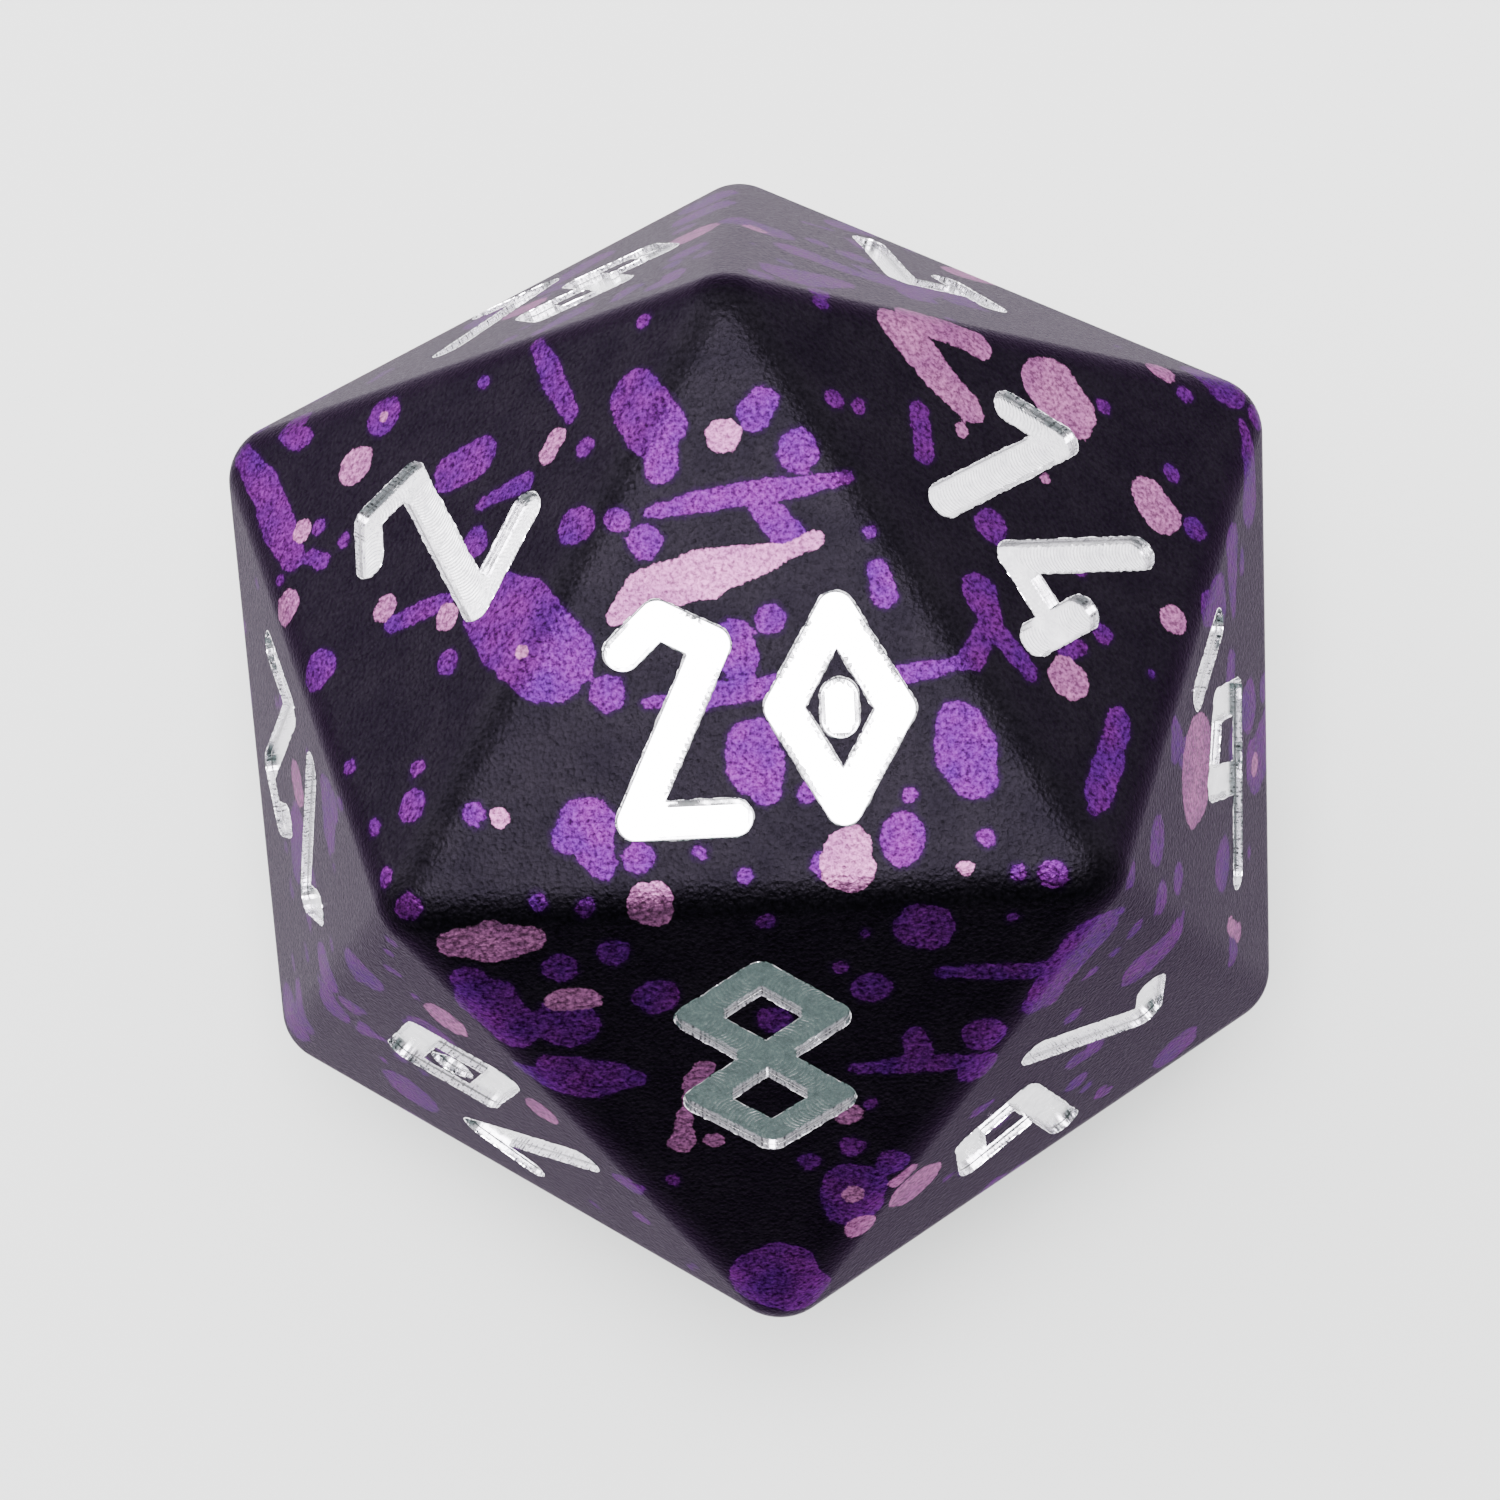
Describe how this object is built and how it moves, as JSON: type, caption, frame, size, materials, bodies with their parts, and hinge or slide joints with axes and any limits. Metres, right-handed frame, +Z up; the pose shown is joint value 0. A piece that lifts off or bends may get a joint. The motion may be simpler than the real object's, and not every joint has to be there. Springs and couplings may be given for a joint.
{
  "type": "polyhedral die",
  "caption": "Large solid aluminium icosahedral die with rounded edges, a blasted and splash-dyed anodised skin, and numerals milled into its faces down to bare metal.",
  "frame": {"origin": "under the middle of the die, in the plane that it stands on", "axes": "+Z up, out of the face numbered 20; +Y towards the corner that the top numeral points at; +X to that numeral's right"},
  "size_m": [0.0478, 0.0542, 0.045],
  "materials": {
    "anodised_aluminium": "bead-blasted, black anodised with violet and pink splashes; numerals milled to bare metal"
  },
  "bodies": {
    "root": {"die_body": "anodised_aluminium"}
  },
  "joints": []
}
